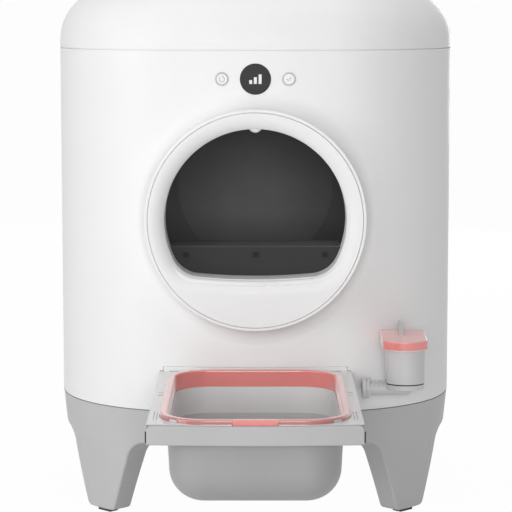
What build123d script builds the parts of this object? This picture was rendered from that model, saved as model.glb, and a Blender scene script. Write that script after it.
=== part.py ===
import os
from math import acos, atan, atan2, cos, degrees, pi, radians, sin, sqrt, tan

from build123d import *

# Body plan: a rounded square made of eight tangent arcs
body_half = 252.0
front_arc_r = 632.0
corner_r = 174.0
wall = 4.0

# Total height of the body above the base line; the other heights keep their share of it
top_z = 646.0
rise = top_z / 646.0
seam_z = 133.4 * rise
cover_z = 571.0 * rise
dome_r = 65.0 * rise
cover_wall = 3.0
seam_groove = 1.2

# Base and legs; the pads stand a little below the base line
floor_z = -2.4
skirt_bend_z = 83.0 * rise
skirt_bend_inset = 5.0
foot_inset = 8.0
leg_thick = 26.7
leg_foot_front = 17.5
leg_top_front = 48.4
leg_foot_side = 32.3
leg_top_side = 70.7
leg_edge_r = 3.0
leg_split_z = 66.0 * rise
arch_z = 91.0 * rise
arch_r = 25.0
foot_corner_r = 8.0
deck_z = 95.0 * rise
deck_thick = 4.0
skirt_wall = 7.0
pad_half = 11.0
pad_deep = 6.5
pad_height = 5.0
pad_show = 2.0
cell_half = 10.0
cell_deep = 5.0
cell_height = 12.0
foot_back = 7.7

# Entrance
axis_z = 370.0 * rise
drum_r = 173.0 * rise
collar_r = drum_r - 40.2
collar_proud = 24.0
collar_back = 26.0
collar_flare_r = 20.0
funnel_r = collar_r - 4.2
collar_lip = 1.5
fit_gap = 0.4
door_r = 0.63 * drum_r
door_sill = 0.41 * drum_r
door_sill_r = 4.2 * drum_r
door_corner_r = 0.2081 * drum_r
door_round = 18.0
door_turn = 4.0
funnel_flange = 3.0
lip_r = 4.5
lip_proud = 2.3
lip_angle = 52.3
lip_sink = 8.0
guard_drop = 35.5
guard_thick = 4.0
guard_back = 20.0
guard_depth = 67.0
guard_shelf = 3.0
clip_x = 0.4855 * drum_r
clip_half = 3.0
clip_deep = 2.5
clip_top = 7.0
clip_low = 12.5
nub_r = 8.5
seat_gap = 0.3

# Drum and drive
drum_wall = 3.0
mouth_r = drum_r - 55.0
mouth_rim = 5.0
mouth_cone = 54.0
split_y = 40.0
end_cone = 40.0
drum_rear_room = 44.0
drum_end_r = drum_r - 63.0
seal_gap = 0.3
seal_thick = 0.7
port_half = 62.0
port_lead = 40.0
port_trail = 22.0
sieve_height = 0.578 * drum_r
sieve_slot = 14.0
sieve_pitch = 22.0
gear_lift = 7.0
gear_teeth = 80
pinion_teeth = 12
addendum = 3.15
dedendum = 4.05
backlash = 0.3
gear_width = 12.0
gear_back = 4.0
shaft_r = 4.0
run_gap = 0.05
bracket_room = 6.0
bracket_thick = 4.0
bracket_half = 38.0
bracket_foot = 34.0
gearbox_half = 21.0
gearbox_deep = 18.0
motor_r = 20.0
motor_deep = 52.0

# Drum support
roller_r = 14.0
roller_width = 22.0
roller_gap = 0.3
roller_lead = 48.0
roller_trail = 47.0
fork_thick = 4.0
fork_room = 1.0
cradle_wall = 4.0
cradle_foot = 52.0
cradle_front = 22.0
cradle_trail = 12.0
roller_out = 19.2
drum_room = 3.0

# Drawer, as it stands pulled out
frame_half = 116.0
rail_width = 12.5
ring_half = frame_half - rail_width
drawer_room = 189.0
ring_length = 2 * body_half - drawer_room
ring_stand = 4.0
ring_top_z = 188.5 * rise
ring_height = 20.0
ring_rim = 8.0
ring_corner_r = 50.0
tab_half = 24.0
tab_proud = 2.2
tab_rise = 0.4
peg_in = 15.5
peg_half = 4.0
peg_back = 10.0
peg_long = 13.0
peg_height = 18.0
frame_top_z = 183.6 * rise
frame_low_z = 161.8 * rise
tail_in = 62.0
band_gap = 3.5
band_thick = 5.5
band_corner_r = 6.0
band_bow = 6.0
band_drop = 0.8
bin_inset = 7.5
bin_half = ring_half - bin_inset
bin_low_z = 91.3 * rise
bin_wall = 2.5
bin_round = 36.0
flange_thick = 2.5
bin_step_z = 138.0 * rise
bin_step = 1.2
slide_gap = 0.5
runner_web = 3.5
cradle_x = frame_half + slide_gap + runner_web
bay_step = 4.0
bay_step_half = frame_half - bay_step
bay_top_z = 189.6 * rise
shutter_gap = 0.3
chute_z = 191.5 * rise
chute_thick = 2.0
chute_inset = 24.0
chute_half = bin_half - chute_inset

# Controls
control_drop = 33.5
lens_r = 18.5
button_r = 8.0
button_x = 40.0
button_gap = 0.3
board_back = 16.0
board_thick = 1.6
board_half = 62.0
board_half_z = 24.0
post_inset = 6.0
post_r = 3.0
main_half = 75.0
main_height = 70.0
main_drop = 31.0
main_back = 20.0
main_inset = 7.0

# Power socket in the rear wall
inlet_x = -90.0
inlet_z = 165.0 * rise
inlet_r = 8.0
jack_r = 2.8
jack_depth = 12.0

# Deodoriser on the right flank
pipe_stand = 26.9
pipe_z = 165.7 * rise
pipe_r = 8.0
port_out = 12.5
port_x = frame_half + port_out
port_arm = 5.0
flange_r = 12.8
flange_thin = 4.2
flange_edge = 1.0
pot_out = 51.3
pot_x = port_x + pot_out
pot_half = 22.5
pot_ahead = 31.0
pot_behind = 24.0
pot_bow = 14.0
saddle_lift = 2.3
saddle_height = 5.6
gasket = 1.8
pot_height = 43.6
pot_wall = 2.0
lid_shift = 1.6
lid_x = pot_x - lid_shift
lid_half = 26.4
lid_ahead = 45.0
lid_behind = 31.0
lid_thick = 9.6
lid_slope = 4.4
fin_shift = 3.1
fin_x = lid_x - fin_shift
fin_half = 2.3
fin_ahead = 7.0
fin_behind = 30.0
fin_height = 22.5
fin_drop = 9.0
fin_round = 2.5

# Places that follow from the sizes above
far = 2 * body_half + 200
collar_front_y = -body_half - collar_proud
collar_back_y = -body_half + collar_back
guard_front_y = -body_half + guard_back
guard_top_z = axis_z - guard_drop * rise
mouth_y = collar_back_y + funnel_flange + seal_thick + seal_gap
shoulder_y = mouth_y + mouth_cone
drum_end_y = body_half - drum_rear_room
rear_shoulder_y = drum_end_y - end_cone
port_front_y = shoulder_y + port_lead
port_back_y = split_y - port_trail
gear_front_y = rear_shoulder_y - gear_back - gear_width
gear_module = 2 * (drum_r + gear_lift) / gear_teeth
pinion_z = axis_z - gear_module * (gear_teeth + pinion_teeth) / 2
bracket_y = gear_front_y + gear_width + bracket_room
motor_end_y = bracket_y + bracket_thick + motor_deep
roller_y = (shoulder_y + roller_lead, gear_front_y - roller_trail)
roller_reach = drum_r + roller_gap + roller_r
roller_x = cradle_x + roller_out
roller_z = axis_z - sqrt(roller_reach**2 - roller_x**2)
cradle_y = (-body_half + cradle_front, gear_front_y - cradle_trail)
ring_back_y = -body_half - ring_stand
ring_front_y = ring_back_y - ring_length
ring_low_z = ring_top_z - ring_height
ledge_z = ring_low_z - flange_thick
tail_y = -body_half + tail_in
band_back_y = ring_front_y - band_gap
band_front_y = band_back_y - band_thick
band_r = (frame_half**2 + band_bow**2) / (2 * band_bow)
band_top_z = frame_top_z - band_drop
bay_half = frame_half + slide_gap
bay_in_y = tail_y + 10
deck_cut_y = ring_back_y + ring_length + 11
control_z = cover_z - control_drop
board_y = -body_half + board_back
pad_top_z = floor_z + pad_height
cell_top_z = pad_top_z + cell_height
leg_end_z = floor_z + pad_show

# The origin lies on the floor under the middle of the whole box
frame_y = -(band_front_y + body_half) / 2


def corner_centre():
    """Distance of each corner arc's centre from the two middle planes."""
    shift = front_arc_r - body_half
    spread = front_arc_r - corner_r
    return (sqrt(2 * spread**2 - shift**2) - shift) / 2


foot_reach = corner_centre() * sqrt(2) + corner_r - foot_inset - foot_back


def wall_y(x, inset=0.0):
    """Distance of the front wall from the middle plane at a given x."""
    shift = front_arc_r - body_half
    corner = corner_centre()
    if abs(x) < front_arc_r * corner / (front_arc_r - corner_r):
        return sqrt((front_arc_r - inset) ** 2 - x**2) - shift
    return corner + sqrt((corner_r - inset) ** 2 - (abs(x) - corner) ** 2)


port_wall_y = -wall_y(port_x + port_arm)
pipe_y = port_wall_y - pipe_stand
pot_front_y = pipe_y - pot_ahead
pot_back_y = pipe_y + pot_behind
saddle_z = pipe_z + saddle_lift
pot_z = saddle_z + saddle_height + gasket
pot_top_z = pot_z + pot_height
lid_front_y = pipe_y - lid_ahead
lid_back_y = pipe_y + lid_behind
lid_top_z = pot_top_z + lid_thick
fin_top_z = lid_top_z + fin_height


def outline(inset=0.0):
    """Plan of the body, pulled in by inset."""
    shift = front_arc_r - body_half
    corner = corner_centre()
    join = degrees(atan2(corner, corner + shift))
    big = front_arc_r - inset
    small = corner_r - inset

    def point(cx, cy, r, angle, turn):
        x = cx + r * cos(radians(angle))
        y = cy + r * sin(radians(angle))
        return Vector(x, y, 0).rotate(Axis.Z, turn)

    arcs = []
    for turn in (0, 90, 180, 270):
        side = [point(-shift, 0, big, a, turn) for a in (-join, 0, join)]
        bend = [point(corner, corner, small, a, turn) for a in (join, 45, 90 - join)]
        arcs.append(ThreePointArc(*side))
        arcs.append(ThreePointArc(*bend))
    return make_face(arcs)


def block(inset, z0, z1):
    """Upright prism of the body plan."""
    return extrude(Pos(0, 0, z0) * outline(inset), z1 - z0)


def box(x0, x1, y0, y1, z0, z1):
    middle = Pos((x0 + x1) / 2, (y0 + y1) / 2, (z0 + z1) / 2)
    return middle * Box(abs(x1 - x0), abs(y1 - y0), abs(z1 - z0))


def along_y(face, y0, y1):
    """Push a face drawn in X and Z from y1 back to y0."""
    return extrude(Plane.XZ.offset(-y1) * face, y1 - y0)


def rod_y(r, y0, y1, x=0.0, z=0.0):
    return along_y(Pos(x, z) * Circle(r), y0, y1)


def rod_x(r, x0, x1, y, z):
    return extrude(Plane.YZ.offset(x0) * (Pos(y, z) * Circle(r)), x1 - x0)


def rod_z(r, z0, z1, x, y):
    return extrude(Pos(x, y, z0) * Circle(r), z1 - z0)


def tray(half, y0, y1, corner, z0, z1):
    """Rounded rectangular prism, centred on X."""
    plan = RectangleRounded(2 * half, y1 - y0, corner)
    return extrude(Pos(0, (y0 + y1) / 2, z0) * plan, z1 - z0)


def turned(points):
    """Solid of revolution about the drum axis from radius and Y pairs."""
    face = make_face(Polyline(*points, close=True))
    return Pos(0, 0, axis_z) * revolve(face, Axis.Y)


def skirt_inset(z):
    """How far the base's outer face lies inside the body plan at a height."""
    if z > skirt_bend_z:
        return skirt_bend_inset * (seam_z - z) / (seam_z - skirt_bend_z)
    return skirt_bend_inset + (foot_inset - skirt_bend_inset) * (skirt_bend_z - z) / skirt_bend_z


def base_quarter():
    """Rear right quarter of the base: skirt, arches and one tapering leg."""
    drop = skirt_bend_z - leg_end_z
    slope = (foot_inset - skirt_bend_inset) / skirt_bend_z
    low = extrude(Pos(0, 0, leg_end_z) * outline(skirt_inset(leg_end_z)), drop,
                  taper=-degrees(atan(slope)))
    lift = seam_z - skirt_bend_z
    high = extrude(Pos(0, 0, skirt_bend_z) * outline(skirt_bend_inset), lift,
                   taper=-degrees(atan(skirt_bend_inset / lift)))
    ring = low + high
    ring -= block(foot_inset + leg_thick, leg_end_z, deck_z)
    ring -= block(skirt_wall, deck_z, seam_z)
    profile = make_face(Polyline(
        (-far, seam_z), (-far, arch_z), (-leg_top_side, arch_z), (-leg_foot_side, leg_end_z),
        (leg_foot_front, leg_end_z), (leg_top_front, arch_z), (far, arch_z), (far, seam_z), close=True))
    tops = [v for v in profile.vertices() if abs(v.Y - arch_z) < 0.1 and abs(v.X) < far - 1]
    profile = fillet(tops, arch_r)
    feet = [v for v in profile.vertices() if abs(v.Y - leg_end_z) < 0.1]
    profile = fillet(feet, foot_corner_r)
    diagonal = Plane(origin=(0, 0, 0), x_dir=(-1, 1, 0), z_dir=(1, 1, 0))
    quarter = ring & box(0, far, 0, far, leg_end_z, seam_z) & extrude(diagonal * profile, far)
    return fillet(outer_arch_edges(quarter), leg_edge_r)


def outer_arch_edges(quarter):
    """Edges where the outer face turns into the arches and the leg's sides."""
    corner = corner_centre()
    shift = front_arc_r - body_half
    picked = []
    for edge in quarter.edges():
        spot = edge @ 0.5
        if spot.Z > arch_z + 1 or spot.X < 1 or spot.Y < 1:
            continue
        limit = front_arc_r * corner / (front_arc_r - corner_r)
        if spot.X < limit:
            inside = front_arc_r - sqrt(spot.X**2 + (spot.Y + shift) ** 2)
        elif spot.Y < limit:
            inside = front_arc_r - sqrt(spot.Y**2 + (spot.X + shift) ** 2)
        else:
            inside = corner_r - sqrt((spot.X - corner) ** 2 + (spot.Y - corner) ** 2)
        if abs(inside - skirt_inset(spot.Z)) < 0.4 and abs(spot.Z - skirt_bend_z) > 0.05:
            picked.append(edge)
    return picked


def base_skirt():
    """Grey ring above the legs, open in front for the drawer."""
    quarter = base_quarter() & box(0, far, 0, far, leg_split_z, seam_z)
    shape = quarter + mirror(quarter, Plane.YZ)
    shape += mirror(shape, Plane.XZ)
    return shape - box(-bay_half, bay_half, -far, 0, arch_z - 2, seam_z)


def leg():
    """Rear right leg with pockets for its pad and load cell."""
    shape = base_quarter() & box(0, far, 0, far, leg_end_z, leg_split_z)
    for pocket in foot_places(pad_half, pad_deep, floor_z, pad_top_z):
        shape -= pocket
    for pocket in foot_places(cell_half, cell_deep, pad_top_z, cell_top_z):
        shape -= pocket
    return shape


def foot_places(half, deep, z0, z1):
    """One block in the middle of each foot, turned along its diagonal."""
    shapes = []
    for turn in (45, 135, 225, 315):
        piece = box(foot_reach - deep, foot_reach + deep, -half, half, z0, z1)
        shapes.append(Rot(0, 0, turn) * piece)
    return shapes


def foot_pads():
    return Compound(foot_places(pad_half, pad_deep, floor_z, pad_top_z))


def load_cells():
    return Compound(foot_places(cell_half, cell_deep, pad_top_z, cell_top_z))


def base_deck():
    """Plate on the base ledge, cut away where the bin runs in."""
    plate = block(skirt_wall + fit_gap, deck_z, deck_z + deck_thick)
    return plate - box(-bay_half, bay_half, -far, deck_cut_y, 0, seam_z)


def housing_shell():
    """White wall with the raised entrance collar and its openings."""
    shape = block(0, seam_z, cover_z) + rod_y(collar_r, collar_front_y, 0, 0, axis_z)
    rim = [e for e in shape.edges() if e.geom_type != GeomType.LINE
           and e.bounding_box().size.Y > 1 and e.center().Y < bay_in_y
           and abs(e.center().Z - axis_z) < collar_r + 5]
    shape = fillet(rim, collar_flare_r)
    shape -= block(wall, seam_z, cover_z)
    sleeve = rod_y(collar_r, collar_front_y, collar_back_y, 0, axis_z)
    shape += sleeve - block(0, 0, top_z)
    shape += sleeve & block(wall / 2, seam_z, cover_z)
    lip = [e for e in shape.edges() if abs(e.center().Y - collar_front_y) < 0.1]
    shape = fillet(lip, collar_lip)
    shape -= rod_y(funnel_r + fit_gap, collar_front_y - 5, 0, 0, axis_z)
    shape -= box(-bay_half, bay_half, -far, bay_in_y, seam_z, frame_top_z + slide_gap)
    shape -= box(-bay_step_half, bay_step_half, -far, bay_in_y, seam_z, bay_top_z)
    shape -= block(-1, seam_z, seam_z + seam_groove) - block(1.5, seam_z, seam_z + seam_groove)
    shape -= rod_y(lens_r + 0.1, -far, bay_in_y, 0, control_z)
    for x in (-button_x, button_x):
        shape -= rod_y(button_r + button_gap, -far, bay_in_y, x, control_z)
    shape -= rod_y(5, -far, bay_in_y, port_x + port_arm, pipe_z)
    shape -= rod_y(inlet_r, -bay_in_y, far, inlet_x, inlet_z)
    return shape


def top_cover():
    """Domed lid with a groove at its seam and a tongue inside the wall."""
    dome = block(0, cover_z, top_z)
    rim = dome.faces().sort_by(Axis.Z)[-1].edges()
    dome = fillet(rim, dome_r)
    hollow = block(cover_wall, cover_z, top_z - cover_wall)
    rim = hollow.faces().sort_by(Axis.Z)[-1].edges()
    dome -= fillet(rim, dome_r - cover_wall)
    dome -= block(-1, cover_z, cover_z + seam_groove) - block(2, cover_z, cover_z + seam_groove)
    tongue = block(wall + fit_gap, cover_z - 10, cover_z + 6)
    tongue -= block(wall + fit_gap + 3, cover_z - 10, cover_z + 6)
    lip = block(cover_wall - 1, cover_z, cover_z + 6) - block(wall + fit_gap + 3, cover_z, cover_z + 6)
    return dome + lip + tongue


def door_arcs(grow=0.0):
    """D-shaped outline of the entrance in X and Z, its foot slightly bowed."""
    big = door_r + grow
    bend = door_corner_r + grow
    low = axis_z - door_sill - grow
    sill_z = low + door_sill_r
    gap = (big - bend) ** 2 - (door_sill_r - bend) ** 2
    z = (gap - axis_z**2 + sill_z**2) / (2 * (sill_z - axis_z))
    x = sqrt((big - bend) ** 2 - (z - axis_z) ** 2)

    def beyond(side, from_z, r):
        way = Vector(side * x, z - from_z, 0).normalized()
        return Vector(0, from_z, 0) + way * r

    def turn(side):
        way = Vector(side, -0.7, 0).normalized()
        return Vector(side * x, z, 0) + way * bend

    return [
        ThreePointArc(beyond(1, axis_z, big), (0, axis_z + big), beyond(-1, axis_z, big)),
        ThreePointArc(beyond(-1, axis_z, big), turn(-1), beyond(-1, sill_z, door_sill_r)),
        ThreePointArc(beyond(-1, sill_z, door_sill_r), (0, low), beyond(1, sill_z, door_sill_r)),
        ThreePointArc(beyond(1, sill_z, door_sill_r), turn(1), beyond(1, axis_z, big)),
    ]


def door_face(grow=0.0):
    return make_face(door_arcs(grow))


def entrance_funnel():
    """Rounded throat from the collar to the D-shaped opening, with a rolled lip on its sill."""
    back = collar_back_y + funnel_flange
    shape = rod_y(funnel_r, collar_front_y, back, 0, axis_z)
    shape += rod_y(collar_r, collar_back_y, back, 0, axis_z)
    shape -= along_y(door_face(-door_turn), collar_front_y - 5, back + 5)
    front = [e for e in shape.edges() if abs(e.center().Y - collar_front_y) < 0.1
             and e.bounding_box().size.X < 2 * funnel_r - 10]
    bend = door_round + door_turn
    shape = fillet(front, bend)
    shape -= along_y(door_face(), collar_front_y + bend - sqrt(bend**2 - door_round**2), back + 5)
    ring = [e for e in shape.edges() if abs(e.center().Y - collar_front_y) < 0.1
            and e.bounding_box().size.X > 2 * funnel_r - 10]
    pocket = (Pos(0, axis_z) * Circle(door_r - 1)) - door_face(5)
    shape -= along_y(pocket, collar_front_y + 14, back)
    return fillet(ring, 0.8) + sill_lip()


def sill_lip():
    """Roll along the foot of the opening that sinks into the throat round the corners."""
    bend = door_round + door_turn
    lip_out = bend + lip_proud - lip_r
    grow = door_round - lip_out * cos(radians(lip_angle))
    y = collar_front_y + bend - lip_out * sin(radians(lip_angle))
    low = axis_z - door_sill - grow
    tilt = radians(lip_sink)
    leaning = Plane(origin=(0, y, low), x_dir=(1, 0, 0), z_dir=(0, -cos(tilt), sin(tilt)))
    path = Wire([leaning * Pos(0, -low) * arc for arc in door_arcs(grow)[1:]])
    return sweep(Plane(origin=path @ 0, z_dir=path % 0) * Circle(lip_r), path)


def sensor_nub():
    nub = rod_y(nub_r, -body_half - 10, -body_half + 14, 0, axis_z + door_r + 3.5)
    nub = fillet(nub.edges().sort_by(Axis.Y)[0], 5)
    return nub & along_y(door_face(-seat_gap), -far, bay_in_y)


def litter_guard():
    """Plate across the foot of the opening with a shelf behind its top."""
    low = Pos(0, guard_top_z - far / 2) * Rectangle(far, far)
    plate = along_y(door_face() & low, guard_front_y, guard_front_y + guard_thick)
    strip = Pos(0, guard_top_z - guard_shelf / 2) * Rectangle(far, guard_shelf)
    shelf = along_y(door_face() & strip, guard_front_y, guard_front_y + guard_depth)
    return plate + shelf


def guard_clips():
    clips = []
    for x in (-clip_x, 0, clip_x):
        clips.append(box(x - clip_half, x + clip_half, guard_front_y - clip_deep, guard_front_y,
                         guard_top_z - clip_low, guard_top_z - clip_top))
    return Compound(clips)


def mouth_seal():
    """Soft ring between the funnel and the drum mouth."""
    back = collar_back_y + funnel_flange
    ring = Circle(mouth_r + mouth_rim) - Circle(mouth_r - 4)
    return along_y(Pos(0, axis_z) * ring, back, mouth_y - seal_gap)


def drum_front():
    """Front shell of the drum with the mouth and the waste port."""
    inner = drum_r - drum_wall
    shape = turned([
        (mouth_r, mouth_y), (mouth_r + mouth_rim, mouth_y), (drum_r, shoulder_y), (drum_r, split_y),
        (inner, split_y), (inner, shoulder_y + 1.3), (mouth_r, mouth_y + 4.4)])
    return shape - box(-port_half, port_half, port_front_y, port_back_y,
                       axis_z + drum_r / 3, axis_z + 2 * drum_r)


def drum_rear():
    """Rear shell of the drum with its closed end."""
    inner = drum_r - drum_wall
    end = drum_end_y - drum_wall
    return turned([
        (drum_r, split_y), (drum_r, rear_shoulder_y), (drum_end_r, drum_end_y), (0, drum_end_y),
        (0, end), (drum_end_r - 1, end), (inner, rear_shoulder_y - 1.7), (inner, split_y)])


def drum_sieve():
    """Slotted plate in front of the waste port."""
    plate = box(-drum_r, drum_r, port_front_y, port_back_y, sieve_height, sieve_height + drum_wall)
    half = sieve_slot / 2
    for k in range(-5, 6):
        x = sieve_pitch * k
        plate -= box(x - half, x + half, port_front_y + 12, port_back_y - 12, 0, drum_r)
    plate = Pos(0, 0, axis_z) * plate
    return plate & rod_y(drum_r - drum_wall, -far, far, 0, axis_z)


def gear_face(teeth, phase):
    """Involute gear outline with stub teeth, one tooth centred on phase degrees."""
    pitch = gear_module * teeth / 2
    base = pitch * cos(radians(20))
    tip = pitch + addendum
    root = pitch - dedendum

    def roll(r):
        angle = acos(min(1, base / r))
        return tan(angle) - angle

    half = (pi * gear_module / 2 - backlash) / 2 / pitch
    low = max(base, root)
    points = []
    for k in range(teeth):
        middle = radians(phase) + 2 * pi * k / teeth
        radii = [low + (tip - low) * i / 3 for i in range(4)]
        offsets = [half + roll(pitch) - roll(r) for r in radii]
        if root < low:
            radii.insert(0, root)
            offsets.insert(0, offsets[0])
        flank = list(zip(radii, offsets))
        for r, off in flank:
            points.append((r * cos(middle - off), r * sin(middle - off)))
        for r, off in reversed(flank):
            points.append((r * cos(middle + off), r * sin(middle + off)))
    return make_face(Polyline(*points, close=True))


def drum_gear():
    ring = gear_face(gear_teeth, 0) - Circle(drum_r)
    return along_y(Pos(0, axis_z) * ring, gear_front_y, gear_front_y + gear_width)


def drive_pinion():
    """Pinion with its shaft, a tooth gap pointing up at the ring gear."""
    face = Pos(0, pinion_z) * gear_face(pinion_teeth, 180 / pinion_teeth)
    gear = along_y(face, gear_front_y - 2, gear_front_y + gear_width + 2)
    return gear + rod_y(shaft_r, gear_front_y - 5, bracket_y + bracket_thick + 10, 0, pinion_z)


def motor_bracket():
    """Upright plate on the deck that carries the motor."""
    top = deck_z + deck_thick
    plate = box(-bracket_half, bracket_half, bracket_y, bracket_y + bracket_thick, top, pinion_z + 24)
    foot = box(-bracket_half, bracket_half, bracket_y, bracket_y + bracket_foot, top, top + bracket_thick)
    plate += foot
    plate -= rod_y(shaft_r + 1, bracket_y - 1, bracket_y + bracket_thick + 1, 0, pinion_z)
    for x, z in motor_corners():
        plate -= rod_y(1.6, bracket_y - 1, bracket_y + bracket_thick + 1, x, z)
    return plate


def motor_corners():
    return [(x, pinion_z + z) for x in (-16, 16) for z in (-16, 16)]


def drive_motor():
    """Square gearbox with a round motor behind it."""
    front = bracket_y + bracket_thick
    half = gearbox_half
    gearbox = box(-half, half, front, front + gearbox_deep, pinion_z - half, pinion_z + half)
    shape = gearbox + rod_y(motor_r, front + gearbox_deep, motor_end_y, 0, pinion_z)
    shape -= rod_y(shaft_r + run_gap, front, front + 11, 0, pinion_z)
    for x, z in motor_corners():
        shape -= rod_y(1.6, front, front + 6, x, z)
    return shape


def motor_screws():
    screws = []
    for x, z in motor_corners():
        head = rod_y(2.8, bracket_y - 2.5, bracket_y, x, z)
        screws.append(head + rod_y(1.6, bracket_y - 1, bracket_y + bracket_thick + 6, x, z))
    return Compound(screws)


def cradle_right():
    """Side beam on the deck with two forks for the drum rollers."""
    low = deck_z + deck_thick
    front, back = cradle_y
    outer = cradle_x + cradle_wall
    shape = box(cradle_x, outer, front, back, low, chute_z)
    shape += box(cradle_x, cradle_x + cradle_foot, roller_y[0] - 20, roller_y[1] + 20, low, low + 4)
    side = make_face(Polyline(
        (cradle_x + 2, low), (cradle_x + cradle_foot, low), (roller_x + 15, roller_z + 16),
        (outer, roller_z + 16), (outer, chute_z - 2), (cradle_x + 2, chute_z - 2), close=True))
    reach = roller_width / 2 + fork_room
    for y in roller_y:
        for y0 in (y - reach - fork_thick, y + reach):
            shape += along_y(side, y0, y0 + fork_thick)
        shape -= rod_y(shaft_r, y - 30, y + 30, roller_x, roller_z)
    return shape - rod_y(drum_r + drum_room, -far, far, 0, axis_z)


def roller(x, y):
    half = roller_width / 2
    body = rod_y(roller_r, y - half, y + half, x, roller_z)
    body = fillet(body.edges(), 1.5)
    return body - rod_y(shaft_r + run_gap, y - half - 1, y + half + 1, x, roller_z)


def roller_axles():
    reach = roller_width / 2 + fork_room + fork_thick + 2
    pins = []
    for x in (-roller_x, roller_x):
        for y in roller_y:
            pins.append(rod_y(shaft_r, y - reach, y + reach, x, roller_z))
    return Compound(pins)


def waste_chute():
    """Plate between the drum and the drawer with a lipped drop hole."""
    outer = cradle_x + cradle_wall
    y0 = port_front_y - 8
    y1 = port_back_y + 8
    plate = box(-outer, outer, y0 - 24, y1 + 34, chute_z, chute_z + chute_thick)
    lips = box(-chute_half - 3, chute_half + 3, y0 - 3, y1 + 3, chute_z, chute_z + 30)
    lips -= rod_y(drum_r + drum_room, -far, far, 0, axis_z)
    return plate + lips - box(-chute_half, chute_half, y0, y1, chute_z - 5, chute_z + 60)


def runner_right():
    """Channel on the cradle that holds the drawer's side rail."""
    front, back = cradle_y
    front -= 1
    low = frame_low_z - 0.3
    high = frame_top_z + 0.5
    inner = frame_half + slide_gap
    shape = box(inner, cradle_x, front, back, low - 3, high + 2.5)
    shape += box(frame_half - 10, cradle_x, front, back, low - 3, low)
    shape += box(bay_step_half + 0.6, cradle_x, front, back, high, high + 2.5)
    return shape + box(frame_half - 10, cradle_x, back - 3, back, low - 3, high + 2.5)


def bow_disc(inset, z0, z1):
    """Large disc whose edge is the bowed front of the drawer."""
    return rod_z(band_r - inset, z0, z1, 0, band_front_y + band_r)


def drawer_frame():
    """Flat frame with long side rails that stay in the runners."""
    shape = box(-frame_half, frame_half, band_back_y, tail_y, frame_low_z, frame_top_z)
    shape &= bow_disc(band_thick, frame_low_z, frame_top_z)
    rail = ring_half + 0.7
    shape -= box(-rail, rail, ring_back_y + 10, tail_y + 1, frame_low_z - 1, frame_top_z + 1)
    room = 0.7
    shape -= tray(ring_half + room, ring_front_y - room, ring_back_y + room, ring_corner_r + room,
                  ledge_z, frame_top_z + 1)
    shape -= tray(bin_half + 1.2, ring_front_y + 6, ring_back_y - 6, ring_corner_r - 6,
                  frame_low_z - 1, frame_top_z)
    shape -= box(-tab_half - 1, tab_half + 1, band_back_y - 1, ring_front_y + 5, ledge_z, frame_top_z + 1)
    middle = (ring_half + frame_half) / 2 - 1.4
    y0 = ring_front_y + 27
    for x in (-middle, middle):
        for y in (y0 + 142, y0 + 158):
            shape -= box(x - 3.3, x + 3.3, y - 1.5, y + 1.5, frame_top_z - 5, frame_top_z + 1)
        for dx in (-1.7, 1.7):
            shape -= box(x + dx - 0.5, x + dx + 0.5, y0, y0 + 46, frame_top_z - 1.2, frame_top_z + 1)
    return shape


def drawer_front():
    """Bowed front band of the drawer."""
    band = bow_disc(0, frame_low_z, band_top_z) - bow_disc(band_thick, frame_low_z, band_top_z)
    band &= box(-frame_half, frame_half, band_front_y, band_front_y + 2 * band_bow + band_thick,
                frame_low_z, band_top_z)
    ends = [e for e in band.edges() if abs(abs(e.center().X) - frame_half) < 0.01
            and abs(e.center().Z - band_top_z) < 0.01]
    band = fillet(ends, band_corner_r)
    return fillet(band.faces().sort_by(Axis.Y)[0].edges(), 1.5)


def band_bumpers():
    """Dark strips on both ends of the front band."""
    strips = []
    y0 = band_front_y + band_bow
    for side in (-1, 1):
        x0 = side * frame_half
        x1 = side * (frame_half + 1.5)
        strips.append(box(x0, x1, y0 + 1.7, y0 + band_thick - 0.4, frame_low_z + 2.5, band_top_z - band_corner_r - 1))
    return Compound(strips)


def bay_shutter():
    """White sill on the drawer frame that closes the bay behind the ring."""
    half = bay_step_half - slide_gap
    high = bay_top_z - shutter_gap
    skin = block(0, frame_top_z, high) - block(wall - 1, frame_top_z, high)
    return skin & box(-half, half, -far, bay_in_y, frame_top_z, bay_top_z)


def waste_bin():
    """Deep bin with a rounded bottom and a flange that rests in the frame."""
    y0 = ring_front_y + 8
    y1 = ring_back_y - 8
    middle = (y0 + y1) / 2
    draft = 3.0

    def cup(shrink, low, rounding):
        plan = RectangleRounded(2 * (bin_half - shrink), y1 - y0 - 2 * shrink,
                                ring_corner_r - 8 - shrink)
        solid = extrude(Pos(0, middle, ring_low_z) * plan, low - ring_low_z, taper=draft)
        return fillet(solid.faces().sort_by(Axis.Z)[0].edges(), rounding)

    shape = cup(0, bin_low_z, bin_round)
    shape += tray(ring_half, ring_front_y, ring_back_y, ring_corner_r, ledge_z, ring_low_z)
    shape -= cup(bin_wall + bin_step, bin_low_z + bin_wall, bin_round - bin_wall)
    shape -= cup(bin_wall, bin_low_z, bin_round) & box(-ring_half, ring_half, y0, y1, bin_step_z, ring_top_z)
    for x in (-bin_half / 2, bin_half / 2):
        shape += rod_z(3, bin_low_z - 1.2, bin_low_z + 1, x, y0 + 52)
    return shape


def ring_notch(room):
    """Blocks at the two front corners of the ring."""
    notches = []
    y0 = ring_front_y + peg_back
    half = peg_half + room
    for x in (peg_in - ring_half, ring_half - peg_in):
        notches.append(box(x - half, x + half, y0, y0 + peg_long, ring_low_z, ring_low_z + peg_height + room))
    return notches


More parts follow.
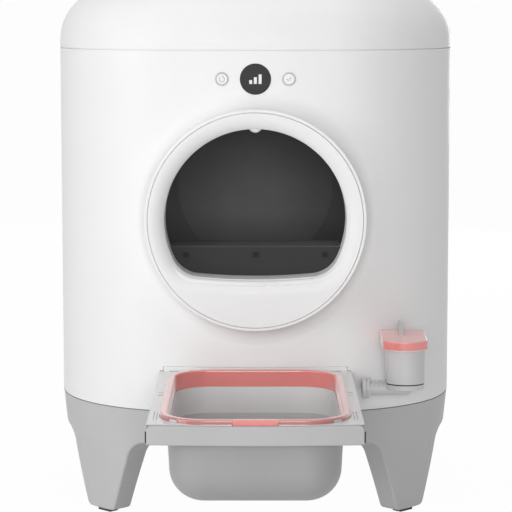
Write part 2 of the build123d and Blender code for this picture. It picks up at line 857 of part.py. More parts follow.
def bag_ring():
    """Pink ring that clamps the bag, with a pull tab in front."""
    low = ring_low_z
    ring = tray(ring_half, ring_front_y, ring_back_y, ring_corner_r, low, ring_top_z)
    ring -= tray(ring_half - ring_rim, ring_front_y + ring_rim, ring_back_y - ring_rim,
                 ring_corner_r - ring_rim, low, ring_top_z)
    ring = fillet(ring.faces().sort_by(Axis.Z)[-1].edges(), 2)
    ring += box(-tab_half, tab_half, ring_front_y - tab_proud, ring_front_y + 5,
                low + 7.5, ring_top_z + tab_rise)
    for notch in ring_notch(0.5):
        ring -= notch
    return ring


def ring_clips():
    """Pale pegs on the bin flange that locate the ring."""
    outer = tray(ring_half, ring_front_y, ring_back_y, ring_corner_r, ring_low_z, ring_low_z + peg_height)
    return Compound([notch & outer for notch in ring_notch(0)])


def display_lens():
    """Round lens with its module behind."""
    front = -wall_y(0) - 0.6
    lens = rod_y(lens_r, front, front + 4, 0, control_z)
    lens = fillet(lens.edges().sort_by(Axis.Y)[0], 0.5)
    return lens + rod_y(lens_r - 2, front + 3, board_y, 0, control_z)


def button(x):
    """Round key with a collar behind the wall and a stem to its switch."""
    front = -wall_y(x) - 0.9
    cap = rod_y(button_r, front, front + 6, x, control_z)
    cap = fillet(cap.edges().sort_by(Axis.Y)[0], 0.6)
    cap += rod_y(button_r + 2, front + 6, front + 7.5, x, control_z)
    return cap + rod_y(2.5, front + 7, board_y - 5.4, x, control_z)


def control_board():
    """Board behind the display, on posts from the wall."""
    board = box(-board_half, board_half, board_y, board_y + board_thick,
                control_z - board_half_z, control_z + board_half_z)
    inside = block(wall, seam_z, cover_z)
    for x in (post_inset - board_half, board_half - post_inset):
        for dz in (post_inset - board_half_z, board_half_z - post_inset):
            board += rod_y(post_r, -body_half, board_y + board_thick / 2, x, control_z + dz) & inside
    return board


def tact_switches():
    switches = []
    for x in (-button_x, button_x):
        body = box(x - 3, x + 3, board_y - 3.2, board_y, control_z - 3, control_z + 3)
        switches.append(body + rod_y(1.7, board_y - 4.2, board_y - 3, x, control_z))
    return Compound(switches)


def main_board():
    """Board on posts from the rear wall."""
    y0 = body_half - main_back
    high = cover_z - main_drop
    low = high - main_height
    board = box(-main_half, main_half, y0, y0 + board_thick, low, high)
    for x, dz, w, h, deep in ((-40, 35, 24, 24, 3), (10, 20, 14, 20, 6), (50, 45, 18, 12, 9)):
        z = low + dz
        board += box(x - w / 2, x + w / 2, y0 - deep, y0, z - h / 2, z + h / 2)
    inside = block(wall, seam_z, cover_z)
    for x in (main_inset - main_half, main_half - main_inset):
        for z in (low + main_inset, high - main_inset):
            board += rod_y(post_r, y0 + board_thick / 2, far, x, z) & inside
    return board


def power_inlet():
    """Socket in the rear wall for a round low-voltage plug."""
    mouth = wall_y(inlet_x)
    body = rod_y(inlet_r, mouth - 24, far, inlet_x, inlet_z) & block(0, seam_z, cover_z)
    body += rod_y(inlet_r + 4, mouth - 16, far, inlet_x, inlet_z) & block(wall, seam_z, cover_z)
    return body - rod_y(jack_r, mouth - jack_depth, far, inlet_x, inlet_z)


def deodoriser_port():
    """Arm from the wall with the first flange of the pipe joint."""
    x = port_x + port_arm
    arm = box(x - 3.5, x + 3.5, pipe_y, bay_in_y, pipe_z - 7, pipe_z + 7) - block(0, 0, top_z)
    flange = rod_x(flange_r, port_x, x, pipe_y, pipe_z)
    arm += fillet(flange.edges().filter_by(GeomType.CIRCLE), flange_edge)
    return arm + rod_y(5, port_wall_y - 6, port_wall_y + 19, x, pipe_z)


def port_nut():
    x = port_x + port_arm
    nut = rod_y(8, port_wall_y - 15, port_wall_y + 15, x, pipe_z) & block(wall, seam_z, cover_z)
    return nut - rod_y(5, port_wall_y - 25, port_wall_y + 25, x, pipe_z)


def deodoriser_pipe():
    """Second flange, level pipe with grip ribs and the riser under the saddle."""
    x = port_x + port_arm
    end = pot_x + 10.2
    flange = rod_x(flange_r - 1.3, x, x + flange_thin, pipe_y, pipe_z)
    pipe = fillet(flange.edges().filter_by(GeomType.CIRCLE), flange_edge)
    pipe -= box(x - 1, x + 3.5, pipe_y, bay_in_y, pipe_z - 7, pipe_z + 7)
    pipe += rod_x(pipe_r, x + flange_thin, end, pipe_y, pipe_z)
    for k in range(4):
        rib = rod_x(pipe_r + 1.8, x + 7.5 + 3.6 * k, x + 9.1 + 3.6 * k, pipe_y, pipe_z)
        pipe += rib & box(x, end, pipe_y - 40, pipe_y + 40, pipe_z + pipe_r / 2, pipe_z + 2 * pipe_r)
    slope = Pos(end, 0, pipe_z - pipe_r) * (Rot(0, 45, 0) * Box(10, 60, 10))
    pipe -= Pos(0, pipe_y, 0) * slope
    riser = rod_z(pipe_r, pipe_z, saddle_z, pot_x, pipe_y)
    return pipe + riser - saddle_block(saddle_z, pot_z)


def saddle_block(z0, z1):
    """Plan of the saddle and its gasket, pushed up from z0 to z1."""
    return bowed(pot_x, pot_half - 0.3, pot_back_y - 1, pot_front_y + 1.5, z0, z1)


def bowed(x, half, y_back, y_front, z0, z1):
    """Prism with a straight back, straight sides and a bowed front."""
    side = y_front + pot_bow
    plan = Curve() + [
        Line((x - half, side), (x - half, y_back)),
        Line((x - half, y_back), (x + half, y_back)),
        Line((x + half, y_back), (x + half, side)),
        ThreePointArc((x + half, side), (x, y_front), (x - half, side)),
    ]
    return extrude(Pos(0, 0, z0) * make_face(plan), z1 - z0)


def clamp_screw():
    """Small screw on top of the two flanges."""
    x = port_x + port_arm + 3.2
    screw = rod_z(2, pipe_z + 9, pipe_z + 14.5, x, pipe_y - 4)
    return screw - rod_x(11.5, x - 5, x + 5, pipe_y, pipe_z)


def deodoriser_saddle():
    """Tray under the pot with the drain hole."""
    return saddle_block(saddle_z, pot_z - gasket) - rod_z(5.3, saddle_z - 1, pot_z + 1, pot_x, pipe_y)


def pot_gasket():
    """Dark seal between the saddle and the pot."""
    return saddle_block(pot_z - gasket, pot_z) - rod_z(5.3, saddle_z - 1, pot_z + 1, pot_x, pipe_y)


def deodoriser_pot():
    """Open pot with a drain spigot below."""
    pot = bowed(pot_x, pot_half, pot_back_y, pot_front_y, pot_z, pot_top_z)
    pot -= bowed(pot_x, pot_half - pot_wall, pot_back_y - pot_wall, pot_front_y + pot_wall,
                 pot_z + pot_wall, pot_top_z)
    return pot + rod_z(5, saddle_z + 1, pot_z + 1, pot_x, pipe_y)


def deodoriser_lid():
    """Pink lid, rising to the back, with a plug inside the pot."""
    lid = bowed(lid_x, lid_half, lid_back_y, lid_front_y, pot_top_z, lid_top_z + lid_slope)
    wedge = make_face(Polyline(
        (lid_front_y, lid_top_z), (lid_back_y, lid_top_z + lid_slope), (lid_back_y, lid_top_z + 40),
        (lid_front_y - 40, lid_top_z + 40), (lid_front_y - 40, lid_top_z), close=True))
    lid -= extrude(Plane.YZ.offset(lid_x - 2 * lid_half) * wedge, 4 * lid_half)
    lid = fillet(lid.faces().sort_by(Axis.Z)[-1].edges(), 1.2)
    inner = pot_wall + 0.4
    plug = bowed(pot_x, pot_half - inner, pot_back_y - inner, pot_front_y + inner,
                 pot_top_z - 5, pot_top_z)
    plug -= bowed(pot_x, pot_half - inner - 2, pot_back_y - inner - 2, pot_front_y + inner + 2,
                  pot_top_z - 5, pot_top_z)
    return lid + plug


def lid_fin():
    """Upright grip on the lid, falling to the back."""
    front = pipe_y - fin_ahead
    back = pipe_y + fin_behind
    side = make_face(Polyline(
        (front, pot_top_z + 2), (front, fin_top_z), (back, fin_top_z - fin_drop), (back, pot_top_z + 2),
        close=True))
    side = fillet(side.vertices().sort_by(Axis.Y)[-2:], fin_round)
    fin = extrude(Plane.YZ.offset(fin_x - fin_half) * side, 2 * fin_half)
    return fin - deodoriser_lid()


nodes = {
    "base_skirt": base_skirt(),
    "leg_rear_right": leg(),
    "leg_rear_left": mirror(leg(), Plane.YZ),
    "leg_front_right": mirror(leg(), Plane.XZ),
    "leg_front_left": mirror(mirror(leg(), Plane.XZ), Plane.YZ),
    "foot_pads": foot_pads(),
    "load_cells": load_cells(),
    "base_deck": base_deck(),
    "housing_shell": housing_shell(),
    "top_cover": top_cover(),
    "entrance_funnel": entrance_funnel(),
    "sensor_nub": sensor_nub(),
    "litter_guard": litter_guard(),
    "guard_clips": guard_clips(),
    "mouth_seal": mouth_seal(),
    "drum_front": drum_front(),
    "drum_rear": drum_rear(),
    "drum_sieve": drum_sieve(),
    "drum_gear": drum_gear(),
    "drive_pinion": drive_pinion(),
    "motor_bracket": motor_bracket(),
    "drive_motor": drive_motor(),
    "motor_screws": motor_screws(),
    "cradle_right": cradle_right(),
    "cradle_left": mirror(cradle_right(), Plane.YZ),
    "roller_axles": roller_axles(),
    "roller_front_left": roller(-roller_x, roller_y[0]),
    "roller_front_right": roller(roller_x, roller_y[0]),
    "roller_rear_left": roller(-roller_x, roller_y[1]),
    "roller_rear_right": roller(roller_x, roller_y[1]),
    "waste_chute": waste_chute(),
    "runner_right": runner_right(),
    "runner_left": mirror(runner_right(), Plane.YZ),
    "drawer_frame": drawer_frame(),
    "drawer_front": drawer_front(),
    "band_bumpers": band_bumpers(),
    "bay_shutter": bay_shutter(),
    "waste_bin": waste_bin(),
    "bag_ring": bag_ring(),
    "ring_clips": ring_clips(),
    "display_lens": display_lens(),
    "button_left": button(-button_x),
    "button_right": button(button_x),
    "control_board": control_board(),
    "tact_switches": tact_switches(),
    "main_board": main_board(),
    "power_inlet": power_inlet(),
    "deodoriser_port": deodoriser_port(),
    "port_nut": port_nut(),
    "deodoriser_pipe": deodoriser_pipe(),
    "clamp_screw": clamp_screw(),
    "deodoriser_saddle": deodoriser_saddle(),
    "pot_gasket": pot_gasket(),
    "deodoriser_pot": deodoriser_pot(),
    "deodoriser_lid": deodoriser_lid(),
    "lid_fin": lid_fin(),
}

os.makedirs("parts", exist_ok=True)
for name, shape in nodes.items():
    export_step(Pos(0, frame_y, -floor_z) * shape, f"parts/{name}.step")
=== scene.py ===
import math

import bmesh
import bpy
from mathutils import Matrix, Vector


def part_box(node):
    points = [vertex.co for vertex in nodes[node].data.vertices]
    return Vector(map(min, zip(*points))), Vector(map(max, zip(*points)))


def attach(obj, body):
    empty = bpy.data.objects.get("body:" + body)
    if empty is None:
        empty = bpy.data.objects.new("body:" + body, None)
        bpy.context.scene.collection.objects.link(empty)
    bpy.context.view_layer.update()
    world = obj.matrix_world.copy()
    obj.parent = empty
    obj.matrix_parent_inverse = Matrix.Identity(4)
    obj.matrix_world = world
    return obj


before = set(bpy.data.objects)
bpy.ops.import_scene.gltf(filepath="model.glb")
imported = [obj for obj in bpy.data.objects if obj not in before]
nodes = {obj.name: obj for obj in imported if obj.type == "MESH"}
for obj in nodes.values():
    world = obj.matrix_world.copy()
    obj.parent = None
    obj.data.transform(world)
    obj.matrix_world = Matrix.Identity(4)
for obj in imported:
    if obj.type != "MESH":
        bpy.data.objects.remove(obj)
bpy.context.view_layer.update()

# Sizes in metres, in the row frame; the body's middle stands back from the origin
BODY_BACK = 0.164
BASE_LINE = 0.0024

# Waste bin, for the painted shade on its outside and on its inside below the step
BIN_MIDDLE_Y = -0.4135 + BODY_BACK
BIN_HALF = (0.096, 0.1495)
BIN_CORNER = 0.042
BIN_WALL = 0.0025
BIN_DRAFT = math.tan(math.radians(3))
BIN_ROUND = 0.036
BIN_FOOT_Z = 0.0913 + BASE_LINE
BIN_STEP_Z = 0.138 + BASE_LINE
BIN_STEP_BLEND = 0.001
BIN_RIM_Z = 0.1685 + BASE_LINE
WALL_CROSSING = (0.3, 0.7)

# Bag ring, for the painted shade on its outer wall; distances from its plan's edge
RING_HALF = (0.1035, 0.1575)
RING_CORNER = 0.050
SKIRT_BLEND = (-0.0020, -0.0010)
TAB_BLEND = (0.0003, 0.0006)

# Heights of painted light bands: shadow at the seam, highlight on the guard's shelf, shade below the
# rails' top, pale pot rim with light
SEAM_SHADOW = 0.0012
SHELF_HIGHLIGHT = 0.00015
RAIL_SHADE_DROP = 0.0006
POT_RIM_AND_LIGHT = 0.0035

# Values that all finishes share
COAT_ROUGH = 0.12
COAT_IOR = 1.6
SHEEN_ROUGH = 0.3
RAMP_ENDS = (0.3, 0.7)
DRIFT_DETAIL = 3.0
GLOSS_DRIFT = 0.05
GRAIN_DETAIL = 2.0
GRAIN_STRENGTH = 0.5

# Marks on the display and the keys; a stroke is its offsets in x and z, its length and its turn
CONTROL_Z = 0.5375 + BASE_LINE
KEY_X = 0.040
MARK_THICK = 0.0003
LEVEL_HEIGHTS = (0.0046, 0.0080, 0.0114)
LEVEL_PITCH = 0.0056
LEVEL_WIDTH = 0.0036
LEVEL_DROP = 0.0057
ARROW_R = 0.0032
ARROW_LINE = 0.0007
ARROW_START = 0.6
ARROW_SWEEP = 5.0
ARROW_STEPS = 30
ARROW_HEAD = ((0.0013, 0.0036, 0.0020, 0.9), (0.0010, 0.0024, 0.0018, -0.6))
TICK_LINE = 0.0008
TICK = ((-0.0019, -0.0008, 0.0030, math.radians(45)), (0.0010, 0.0002, 0.0056, math.radians(-50)))
STROKE_SOFT = 0.0001
RIM_R = 0.0069
RIM_WIDTH = 0.0010
RIM_THICK = 0.0004
RIM_SINK = 0.0001

# Floor, lamps and camera
FLOOR_HALF = 1000.0
FLOOR_WHITE = 0.975
SKY_STRENGTH = 0.3
AIM = (0, 0.1, 0.38)
LAMPS = (
    ("left_key", (-1.7, -2.2, 1.7), (1.6, 1.6), 10),
    ("left_low", (-2.2, -1.6, 0.5), (1.2, 1.2), 19.3),
    ("front_fill", (0, -3.2, 0.75), (1.2, 0.8), 32),
    ("top_soft", (0, 0.1, 2.6), (1.6, 1.6), 18),
    ("right_edge", (1.8, 1.0, 0.9), (0.6, 1.6), 1.5),
    ("rear_fill", (0.5, 3.2, 0.75), (1.6, 1.0), 24),
)
PHOTO_WIDTH_PX = 512
FOCAL_PX = 2130
SHIFT_PX = 0.6
SENSOR_MM = 36.0
CAMERA_Y = -2.794 + BODY_BACK
CAMERA_Z = 0.632 + BASE_LINE
CAMERA_DIP = 0.12


# Finishes

def join(tree, kind, *values, **settings):
    """Add a node, set its options, and feed its inputs in order from sockets or plain values."""
    node = tree.nodes.new(kind)
    for key, value in settings.items():
        setattr(node, key, value)
    for socket, value in zip(node.inputs, values):
        if isinstance(value, bpy.types.NodeSocket):
            tree.links.new(value, socket)
        else:
            socket.default_value = value
    return node


def fill(node, values):
    """Set a node's inputs by name."""
    for name, value in values.items():
        node.inputs[name].default_value = value


def plan_reach(tree, parts, half, corner):
    """How far a point lies from the core of a round-cornered plan; the corner's radius at its edge."""
    plan = join(tree, "ShaderNodeCombineXYZ", parts.outputs["X"], parts.outputs["Y"], 0.0)
    spot = join(tree, "ShaderNodeVectorMath", plan.outputs[0], (0, BIN_MIDDLE_Y, 0),
                operation="SUBTRACT")
    fold = join(tree, "ShaderNodeVectorMath", spot.outputs[0], operation="ABSOLUTE")
    core = (half[0] - corner, half[1] - corner, 0)
    past = join(tree, "ShaderNodeVectorMath", fold.outputs[0], core, operation="SUBTRACT")
    kept = join(tree, "ShaderNodeVectorMath", past.outputs[0], (0, 0, 0), operation="MAXIMUM")
    return join(tree, "ShaderNodeVectorMath", kept.outputs[0], operation="LENGTH")


def tone(tree, tint, shader, share):
    """Multiply the finish's colour by a worked-out share."""
    shade = join(tree, "ShaderNodeVectorMath", tint.outputs["Color"], operation="SCALE")
    tree.links.new(share.outputs[0], shade.inputs["Scale"])
    tree.links.new(shade.outputs[0], shader.inputs["Base Color"])


def paint_skirt_shade(tree, place, tint, shader, share):
    """Painted shade on the ring's outer wall, between its rounded top and its pull tab."""
    parts = join(tree, "ShaderNodeSeparateXYZ", place.outputs["Object"])
    reach = plan_reach(tree, parts, RING_HALF, RING_CORNER).outputs["Value"]
    start, full = (RING_CORNER + step for step in SKIRT_BLEND)
    outer = join(tree, "ShaderNodeMapRange", reach, start, full, 1.0, share)
    start, full = (RING_CORNER + step for step in TAB_BLEND)
    tab = join(tree, "ShaderNodeMapRange", reach, start, full, share, 1.0)
    both = join(tree, "ShaderNodeMath", outer.outputs[0], tab.outputs[0], operation="MAXIMUM")
    tone(tree, tint, shader, both)


def bottom_inset(tree, height):
    """How far the bin's rounded bottom draws its wall in at a height."""
    drop = join(tree, "ShaderNodeMath", BIN_FOOT_Z + BIN_ROUND, height, operation="SUBTRACT")
    drop = join(tree, "ShaderNodeClamp", drop.outputs[0], 0.0, BIN_ROUND)
    square = join(tree, "ShaderNodeMath", drop.outputs[0], drop.outputs[0], operation="MULTIPLY")
    square = join(tree, "ShaderNodeMath", BIN_ROUND ** 2, square.outputs[0], operation="SUBTRACT")
    across = join(tree, "ShaderNodeMath", square.outputs[0], operation="SQRT")
    return join(tree, "ShaderNodeMath", BIN_ROUND, across.outputs[0], operation="SUBTRACT")


def paint_bin_shade(tree, place, tint, shader, outside, low_share):
    """Painted shade: the bin's inner wall keeps full colour; its outside and the inside below its step
    are darker.
    """
    parts = join(tree, "ShaderNodeSeparateXYZ", place.outputs["Object"])
    height = parts.outputs["Z"]
    reach = plan_reach(tree, parts, BIN_HALF, BIN_CORNER)
    lean = join(tree, "ShaderNodeMath", height, -BIN_DRAFT, BIN_RIM_Z * BIN_DRAFT,
                operation="MULTIPLY_ADD")
    wall = join(tree, "ShaderNodeMath", reach.outputs["Value"], lean.outputs[0], operation="ADD")
    inset = bottom_inset(tree, height)
    wall = join(tree, "ShaderNodeMath", wall.outputs[0], inset.outputs[0], operation="ADD")
    near, far = (share * BIN_WALL for share in WALL_CROSSING)
    side = join(tree, "ShaderNodeMapRange", wall.outputs[0], BIN_CORNER - far, BIN_CORNER - near,
                0.0, 1.0)
    under = join(tree, "ShaderNodeMapRange", height, BIN_FOOT_Z + near, BIN_FOOT_Z + far, 1.0, 0.0)
    outer = join(tree, "ShaderNodeMath", side.outputs[0], under.outputs[0], operation="MAXIMUM")
    low = join(tree, "ShaderNodeMapRange", height, BIN_STEP_Z - BIN_STEP_BLEND, BIN_STEP_Z,
               low_share, 1.0)
    share = join(tree, "ShaderNodeMapRange", outer.outputs[0], 0.0, 1.0, low.outputs[0], outside)
    tone(tree, tint, shader, share)


def paint_light_band(tree, place, tint, shader, low, high, share):
    """Multiply the colour between two heights: a band of painted shadow, shade or highlight."""
    parts = join(tree, "ShaderNodeSeparateXYZ", place.outputs["Object"])
    inside = join(tree, "ShaderNodeMath", parts.outputs["Z"], (low + high) / 2, (high - low) / 2,
                  operation="COMPARE")
    amount = join(tree, "ShaderNodeMath", inside.outputs[0], share - 1, 1.0,
                  operation="MULTIPLY_ADD")
    tone(tree, tint, shader, amount)


def finish(name, colour, rough, spread=0.03, mottle=18.0, grain=2200.0, depth=0.00002, level=0.5,
           coat=0.0, sheen=0.0, metal=0.0, inside=None, band=None, skirt=None):
    """Moulded surface: soft colour drift, uneven gloss and a fine spark-eroded grain, with optional
    painted shade or highlight.
    """
    material = bpy.data.materials.new(name)
    material.use_nodes = True
    tree = material.node_tree
    shader = tree.nodes["Principled BSDF"]
    fill(shader, {"Specular IOR Level": level, "Coat Weight": coat, "Coat Roughness": COAT_ROUGH,
                  "Coat IOR": COAT_IOR, "Sheen Weight": sheen, "Sheen Roughness": SHEEN_ROUGH,
                  "Metallic": metal})
    place = tree.nodes.new("ShaderNodeTexCoord")

    drift = tree.nodes.new("ShaderNodeTexNoise")
    fill(drift, {"Scale": mottle, "Detail": DRIFT_DETAIL})
    tree.links.new(place.outputs["Object"], drift.inputs["Vector"])
    tint = tree.nodes.new("ShaderNodeValToRGB")
    dark, light = tint.color_ramp.elements
    dark.position, light.position = RAMP_ENDS
    dark.color = [c * (1 - spread) for c in colour] + [1]
    light.color = [min(1, c * (1 + spread)) for c in colour] + [1]
    tree.links.new(drift.outputs["Fac"], tint.inputs["Fac"])
    tree.links.new(tint.outputs["Color"], shader.inputs["Base Color"])
    if inside:
        paint_bin_shade(tree, place, tint, shader, *inside)
    if band:
        paint_light_band(tree, place, tint, shader, *band)
    if skirt:
        paint_skirt_shade(tree, place, tint, shader, skirt)

    gloss = tree.nodes.new("ShaderNodeMapRange")
    fill(gloss, {"To Min": rough - GLOSS_DRIFT, "To Max": rough + GLOSS_DRIFT})
    tree.links.new(drift.outputs["Fac"], gloss.inputs["Value"])
    tree.links.new(gloss.outputs["Result"], shader.inputs["Roughness"])

    pores = tree.nodes.new("ShaderNodeTexNoise")
    fill(pores, {"Scale": grain, "Detail": GRAIN_DETAIL})
    tree.links.new(place.outputs["Object"], pores.inputs["Vector"])
    bump = tree.nodes.new("ShaderNodeBump")
    fill(bump, {"Strength": GRAIN_STRENGTH, "Distance": depth})
    tree.links.new(pores.outputs["Fac"], bump.inputs["Height"])
    tree.links.new(bump.outputs["Normal"], shader.inputs["Normal"])
    return material


seam_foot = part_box("housing_shell")[0].z
guard_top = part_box("litter_guard")[1].z
frame_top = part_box("drawer_frame")[1].z
pot_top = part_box("deodoriser_pot")[1].z

# Each finish is its name, colour and roughness, then what sets it apart
white_shell = finish("white_shell", (0.84, 0.84, 0.84), 0.46, spread=0.008, level=0.25)
# Painted shadow line at the seam where the housing meets the base
white_wall = finish("white_wall", (0.84, 0.84, 0.84), 0.46, spread=0.008, level=0.25,
                    band=(seam_foot - SEAM_SHADOW, seam_foot + SEAM_SHADOW, 0.3))
grey_base = finish("grey_base", (0.50, 0.50, 0.505), 0.5, spread=0.02, grain=1500, depth=0.00005)
# Painted shade on the bin's outside and on its inside below the step
grey_bin = finish("grey_bin", (0.66, 0.66, 0.66), 0.45, spread=0.02, inside=(0.50, 0.78))
grey_band = finish("grey_band", (0.44, 0.44, 0.445), 0.5, spread=0.02, grain=1500, depth=0.00005)
pale_grey = finish("pale_grey", (0.58, 0.58, 0.585), 0.42, spread=0.015)
# Pale band along the pot's top: a pale rim, partly painted light against the lid's shadow
pot_grey = finish("pot_grey", (0.58, 0.58, 0.585), 0.42, spread=0.015,
                  band=(pot_top - POT_RIM_AND_LIGHT, pot_top, 1.4))
# Painted shade on the frame below its rails' top skin, darkening the notches and flanks
frame_grey = finish("frame_grey", (0.62, 0.62, 0.625), 0.3, spread=0.015, coat=0.7, sheen=0.3,
                    band=(0.0, frame_top - RAIL_SHADE_DROP, 0.35))
salmon = finish("salmon", (0.76, 0.232, 0.214), 0.25, spread=0.03, coat=1.0, sheen=0.5)
# Painted shade on the ring's outer wall
salmon_ring = finish("salmon_ring", (0.76, 0.232, 0.214), 0.25, spread=0.03, coat=1.0, sheen=0.5,
                     skirt=0.62)
drum_grey = finish("drum_grey", (0.22, 0.22, 0.222), 0.6, spread=0.06, grain=900, depth=0.00008,
                   level=0.3)
# Painted highlight along the top of the guard's shelf
guard_dark = finish("guard_dark", (0.023, 0.023, 0.024), 0.6, spread=0.06, grain=900,
                    depth=0.00008, level=0.3,
                    band=(guard_top - SHELF_HIGHLIGHT, guard_top + SHELF_HIGHLIGHT, 8.0))
clip_black = finish("clip_black", (0.013, 0.013, 0.013), 0.6, spread=0.06, grain=900,
                    depth=0.00008, level=0.2)
lens_black = finish("lens_black", (0.042, 0.042, 0.044), 0.35, spread=0.05, depth=0.000002,
                    level=0.05)
frosted = finish("frosted", (0.42, 0.44, 0.44), 0.25, spread=0.03)
rubber_dark = finish("rubber_dark", (0.03, 0.03, 0.03), 0.75, spread=0.1, grain=700, depth=0.00008)
plain_steel = finish("plain_steel", (0.55, 0.55, 0.56), 0.32, spread=0.06, mottle=60, metal=1.0)
motor_can = finish("motor_can", (0.50, 0.51, 0.53), 0.4, spread=0.06, mottle=60, metal=1.0)
board_green = finish("board_green", (0.03, 0.16, 0.08), 0.4, spread=0.15, mottle=120)
mark_white = finish("mark_white", (0.80, 0.80, 0.80), 0.5, spread=0.01)
mark_grey = finish("mark_grey", (0.33, 0.33, 0.335), 0.5, spread=0.02)
mark_pale = finish("mark_pale", (0.42, 0.42, 0.425), 0.5, spread=0.02)

dress = {
    white_wall: ["housing_shell"],
    white_shell: ["top_cover", "entrance_funnel", "sensor_nub", "bay_shutter", "button_left",
                  "button_right"],
    grey_base: ["base_skirt", "leg_front_left", "leg_front_right", "leg_rear_left",
                "leg_rear_right", "base_deck", "cradle_left", "cradle_right", "waste_chute"],
    grey_band: ["drawer_front"],
    grey_bin: ["waste_bin"],
    frame_grey: ["drawer_frame"],
    pale_grey: ["ring_clips", "runner_left", "runner_right", "deodoriser_port", "port_nut",
                "deodoriser_pipe", "clamp_screw", "deodoriser_saddle"],
    pot_grey: ["deodoriser_pot"],
    salmon_ring: ["bag_ring"],
    salmon: ["deodoriser_lid"],
    drum_grey: ["drum_front", "drum_rear", "drum_sieve", "drum_gear"],
    guard_dark: ["litter_guard"],
    clip_black: ["guard_clips", "tact_switches", "power_inlet"],
    lens_black: ["display_lens"],
    frosted: ["lid_fin"],
    rubber_dark: ["foot_pads", "mouth_seal", "band_bumpers", "pot_gasket", "roller_front_left",
                  "roller_front_right", "roller_rear_left", "roller_rear_right"],
    plain_steel: ["drive_pinion", "motor_bracket", "motor_screws", "roller_axles"],
    motor_can: ["drive_motor", "load_cells"],
    board_green: ["control_board", "main_board"],
}
for material, names in dress.items():
    for name in names:
        mesh = nodes[name].data
        mesh.materials.clear()
        mesh.materials.append(material)


# Small shapes for the marks

def bar(bm, centre, size, turn=0.0, soft=0.0002):
    """Rounded bar lying on the wall, turned about the viewing axis."""
    spin = Matrix.Rotation(turn, 4, "Y")
    place = Matrix.Translation(centre) @ spin @ Matrix.Diagonal((*size, 1.0))
    made = bmesh.ops.create_cube(bm, size=1.0, matrix=place)
    edges = {e for v in made["verts"] for e in v.link_edges}
    bmesh.ops.bevel(bm, geom=list(edges), offset=soft, offset_type="OFFSET", affect="EDGES",
                    segments=2, profile=0.5, material=-1)


def hoop(bm, centre, radius, width, thick, start=0.0, sweep=math.tau, steps=48):
    """Flat band round the viewing axis, closed or open."""
    along = Vector((math.sin(start), 0, math.cos(start)))
    deep = Vector((0, 1, 0))
    corners = []
    for side, back in ((-1, -1), (1, -1), (1, 1), (-1, 1)):
        spot = Vector(centre) + along * (radius + side * width / 2) + deep * (back * thick / 2)
        corners.append(bm.verts.new(spot))
    loop = [bm.edges.new((corners[k], corners[(k + 1) % 4])) for k in range(4)]
    whole = sweep > math.tau - 0.001
    bmesh.ops.spin(bm, geom=corners + loop, cent=centre, axis=(0, 1, 0), angle=sweep, steps=steps,
                   use_merge=whole, use_duplicate=False)
    if not whole:
        ends = [e for e in bm.edges if e.is_boundary]
        bmesh.ops.holes_fill(bm, edges=ends, sides=4)


def strokes(bm, x, face, lines, width):
    """Short bars on a key's face, set out from its middle."""
    for across, up, length, turn in lines:
        bar(bm, (x + across, face, CONTROL_Z + up), (length, MARK_THICK, width), turn=turn,
            soft=STROKE_SOFT)


def mark(name, build, body, material):
    """Turn a drawing function into a piece that rides on a body."""
    bm = bmesh.new()
    build(bm)
    bmesh.ops.remove_doubles(bm, verts=bm.verts, dist=0.000001)
    bmesh.ops.recalc_face_normals(bm, faces=bm.faces)
    mesh = bpy.data.meshes.new(name)
    bm.to_mesh(mesh)
    bm.free()
    mesh.materials.append(material)
    obj = bpy.data.objects.new(name, mesh)
    bpy.context.scene.collection.objects.link(obj)
    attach(obj, body)


lens_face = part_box("display_lens")[0].y
left_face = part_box("button_left")[0].y
right_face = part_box("button_right")[0].y


def level_bars(bm):
    for k, height in enumerate(LEVEL_HEIGHTS):
        centre = (LEVEL_PITCH * (k - 1), lens_face, CONTROL_Z - LEVEL_DROP + height / 2)
        bar(bm, centre, (LEVEL_WIDTH, MARK_THICK, height))


def turn_arrow(bm):
    hoop(bm, (-KEY_X, left_face, CONTROL_Z), ARROW_R, ARROW_LINE, MARK_THICK, start=ARROW_START,
         sweep=ARROW_SWEEP, steps=ARROW_STEPS)
    strokes(bm, -KEY_X, left_face, ARROW_HEAD, ARROW_LINE)


def tick(bm):
    strokes(bm, KEY_X, right_face, TICK, TICK_LINE)


def left_rim(bm):
    hoop(bm, (-KEY_X, left_face + RIM_SINK, CONTROL_Z), RIM_R, RIM_WIDTH, RIM_THICK)


def right_rim(bm):
    hoop(bm, (KEY_X, right_face + RIM_SINK, CONTROL_Z), RIM_R, RIM_WIDTH, RIM_THICK)


mark("lens_level_bars", level_bars, "body", mark_white)
mark("left_key_arrow", turn_arrow, "left_key", mark_pale)
mark("right_key_tick", tick, "right_key", mark_pale)
mark("left_key_rim", left_rim, "left_key", mark_grey)
mark("right_key_rim", right_rim, "right_key", mark_grey)


# Floor, backdrop light and lamps

def seen_white(tree, shader, share):
    """Mix a plain white into what the camera and reflections see, keeping part of the shading."""
    path = tree.nodes.new("ShaderNodeLightPath").outputs
    seen = join(tree, "ShaderNodeMath", path["Is Camera Ray"], path["Is Glossy Ray"],
                operation="MAXIMUM")
    seen = join(tree, "ShaderNodeMath", seen.outputs[0], path["Is Transmission Ray"],
                operation="MAXIMUM")
    part = join(tree, "ShaderNodeMath", seen.outputs[0], share, operation="MULTIPLY")
    glow = tree.nodes.new("ShaderNodeEmission")
    fill(glow, {"Strength": 1.0})
    return join(tree, "ShaderNodeMixShader", part.outputs[0], shader.outputs[0], glow.outputs[0])


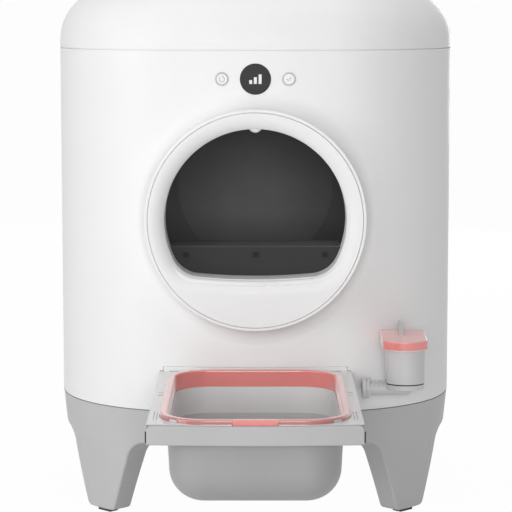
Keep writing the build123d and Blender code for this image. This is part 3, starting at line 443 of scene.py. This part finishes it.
bm = bmesh.new()
bmesh.ops.create_grid(bm, x_segments=2, y_segments=2, size=FLOOR_HALF)
floor_mesh = bpy.data.meshes.new("studio_floor")
bm.to_mesh(floor_mesh)
bm.free()
floor = bpy.data.objects.new("studio_floor", floor_mesh)
bpy.context.scene.collection.objects.link(floor)
floor_paper = bpy.data.materials.new("floor_paper")
floor_paper.use_nodes = True
tree = floor_paper.node_tree
paper = tree.nodes["Principled BSDF"]
fill(paper, {"Base Color": (0.85, 0.85, 0.85, 1), "Roughness": 0.9, "Specular IOR Level": 0.1})
white = seen_white(tree, paper, FLOOR_WHITE)
tree.links.new(white.outputs[0], tree.nodes["Material Output"].inputs["Surface"])
floor_mesh.materials.append(floor_paper)

world = bpy.data.worlds.new("studio")
world.use_nodes = True
bpy.context.scene.world = world
tree = world.node_tree
sky = tree.nodes["Background"]
fill(sky, {"Color": (1, 1, 1, 1), "Strength": SKY_STRENGTH})
white = seen_white(tree, sky, 1.0)
tree.links.new(white.outputs[0], tree.nodes["World Output"].inputs["Surface"])


def lamp(name, where, size, power):
    """Rectangular lamp turned to the middle of the part; sizes in metres, power in watts."""
    data = bpy.data.lights.new(name, "AREA")
    data.shape = "RECTANGLE"
    data.size, data.size_y = size
    data.energy = power
    obj = bpy.data.objects.new(name, data)
    obj.location = where
    obj.rotation_euler = (Vector(AIM) - Vector(where)).to_track_quat("-Z", "Y").to_euler()
    bpy.context.scene.collection.objects.link(obj)


for lamp_values in LAMPS:
    lamp(*lamp_values)

# Camera at the photograph's place
camera_data = bpy.data.cameras.new("front_camera")
camera_data.sensor_width = SENSOR_MM
camera_data.lens = FOCAL_PX * SENSOR_MM / PHOTO_WIDTH_PX
camera_data.shift_x = SHIFT_PX / PHOTO_WIDTH_PX
camera_data.clip_end = 3 * FLOOR_HALF
camera = bpy.data.objects.new("front_camera", camera_data)
camera.location = (0, CAMERA_Y, CAMERA_Z)
camera.rotation_euler = (math.pi / 2 - CAMERA_DIP, 0, 0)
bpy.context.scene.collection.objects.link(camera)
bpy.context.scene.camera = camera
bpy.context.scene.view_settings.view_transform = "Standard"
